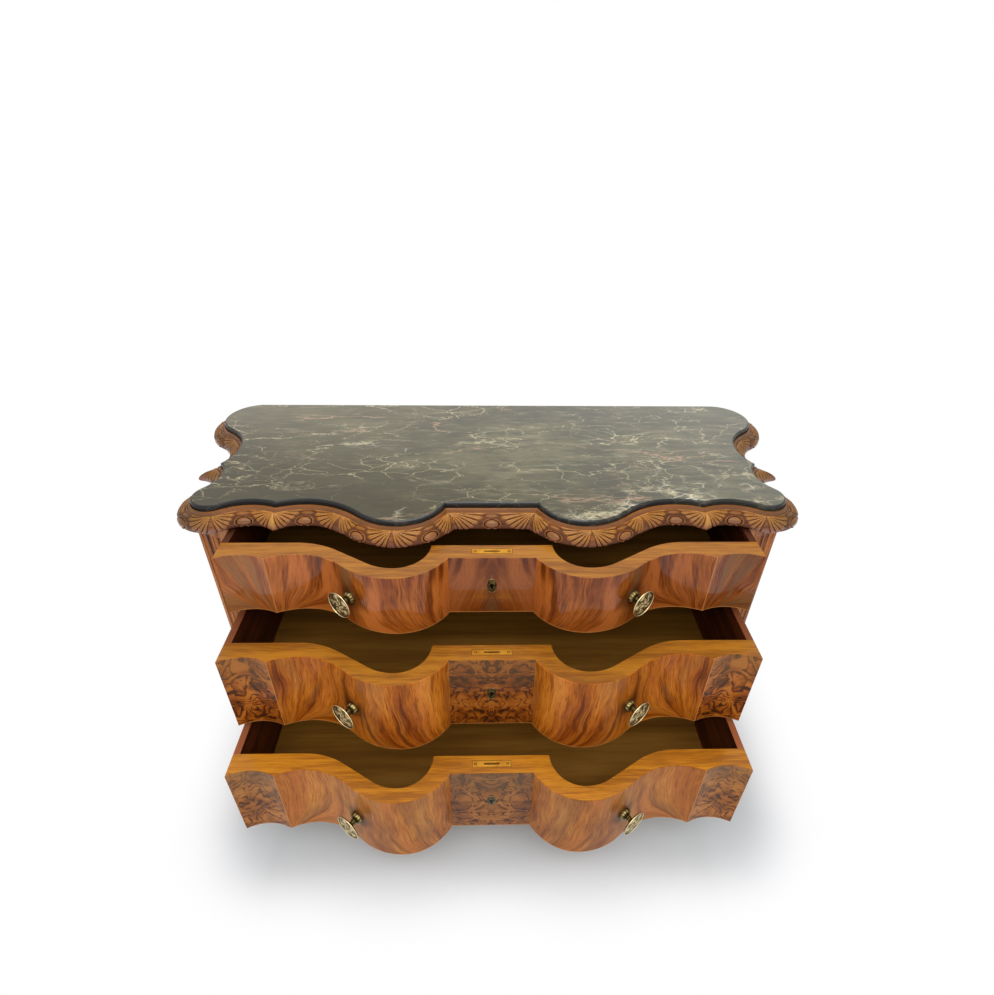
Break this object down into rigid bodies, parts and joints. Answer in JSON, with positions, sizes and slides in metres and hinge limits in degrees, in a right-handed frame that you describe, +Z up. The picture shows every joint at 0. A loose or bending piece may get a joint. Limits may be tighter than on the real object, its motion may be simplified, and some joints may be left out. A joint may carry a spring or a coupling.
{
  "type": "serpentine chest of drawers",
  "caption": "Low serpentine chest with bulging drawer fronts, fluted canted corner posts, shaped sides, a carved cornice and an inset stone top; the drawers slide on wooden runners and lock.",
  "frame": {"origin": "on the floor, under the middle of the whole object's box with the drawers open as in the picture", "axes": "+X along the front to the right, -Y towards the person who opens the drawers, +Z up"},
  "size_m": [1.3138, 0.7902, 0.7839],
  "materials": {
    "marble": "polished, dark greenish grey with cream veins",
    "carved_walnut": "waxed carved walnut with lighter high places",
    "case_walnut": "waxed walnut",
    "case_pine": "plain softwood, aged",
    "core_wood": "honey-coloured wood under the veneer",
    "figured_veneer": "polished striped walnut veneer",
    "burr_veneer": "polished burr walnut veneer",
    "drawer_side_wood": "dark red-brown, worn",
    "drawer_bottom_wood": "olive-brown boards",
    "lock_brass": "rubbed brass",
    "aged_brass": "aged brass, dark in the hollows"
  },
  "bodies": {
    "carcass": {"back_feet": "case_walnut", "back_panel": "case_pine", "back_posts": "case_pine", "base_moulding": "case_walnut", "bottom_board": "case_pine", "bottom_guides": "case_pine", "cornice_front": "carved_walnut", "cornice_sides": "carved_walnut", "front_feet": "case_walnut", "left_front_post": "case_walnut", "left_side": "case_walnut", "lower_rail": "case_walnut", "lower_runners": "case_pine", "marble_top": "marble", "right_front_post": "case_walnut", "right_side": "case_walnut", "sub_top": "case_pine", "upper_rail": "case_walnut", "upper_runners": "case_pine"},
    "top_drawer": {"top_drawer_back": "drawer_side_wood", "top_drawer_bottom": "drawer_bottom_wood", "top_drawer_centre_veneer": "figured_veneer", "top_drawer_end_veneers": "figured_veneer", "top_drawer_escutcheon": "aged_brass", "top_drawer_flank_veneers": "figured_veneer", "top_drawer_front": "core_wood", "top_drawer_knobs": "aged_brass", "top_drawer_left_side": "drawer_side_wood", "top_drawer_lock": "lock_brass", "top_drawer_right_side": "drawer_side_wood"},
    "top_lock_bolt": {"top_drawer_bolt": "lock_brass"},
    "middle_drawer": {"middle_drawer_back": "drawer_side_wood", "middle_drawer_bottom": "drawer_bottom_wood", "middle_drawer_centre_veneer": "burr_veneer", "middle_drawer_end_veneers": "burr_veneer", "middle_drawer_escutcheon": "aged_brass", "middle_drawer_flank_veneers": "figured_veneer", "middle_drawer_front": "core_wood", "middle_drawer_knobs": "aged_brass", "middle_drawer_left_side": "drawer_side_wood", "middle_drawer_lock": "lock_brass", "middle_drawer_right_side": "drawer_side_wood"},
    "middle_lock_bolt": {"middle_drawer_bolt": "lock_brass"},
    "bottom_drawer": {"bottom_drawer_back": "drawer_side_wood", "bottom_drawer_bottom": "drawer_bottom_wood", "bottom_drawer_centre_veneer": "burr_veneer", "bottom_drawer_end_veneers": "burr_veneer", "bottom_drawer_escutcheon": "aged_brass", "bottom_drawer_flank_veneers": "figured_veneer", "bottom_drawer_front": "core_wood", "bottom_drawer_knobs": "aged_brass", "bottom_drawer_left_side": "drawer_side_wood", "bottom_drawer_lock": "lock_brass", "bottom_drawer_right_side": "drawer_side_wood"},
    "bottom_lock_bolt": {"bottom_drawer_bolt": "lock_brass"}
  },
  "joints": [
    {"name": "top_drawer_slide", "type": "slide", "parent": "carcass", "child": "top_drawer", "axis": [0, -1, 0], "range_m": [-0.09, 0.23]},
    {"name": "top_bolt_slide", "type": "slide", "parent": "top_drawer", "child": "top_lock_bolt", "axis": [0, 0, 1], "range_m": [0, 0.009]},
    {"name": "middle_drawer_slide", "type": "slide", "parent": "carcass", "child": "middle_drawer", "axis": [0, -1, 0], "range_m": [-0.184, 0.136]},
    {"name": "middle_bolt_slide", "type": "slide", "parent": "middle_drawer", "child": "middle_lock_bolt", "axis": [0, 0, 1], "range_m": [0, 0.009]},
    {"name": "bottom_drawer_slide", "type": "slide", "parent": "carcass", "child": "bottom_drawer", "axis": [0, -1, 0], "range_m": [-0.27752, 0.04248]},
    {"name": "bottom_bolt_slide", "type": "slide", "parent": "bottom_drawer", "child": "bottom_lock_bolt", "axis": [0, 0, 1], "range_m": [0, 0.009]}
  ]
}
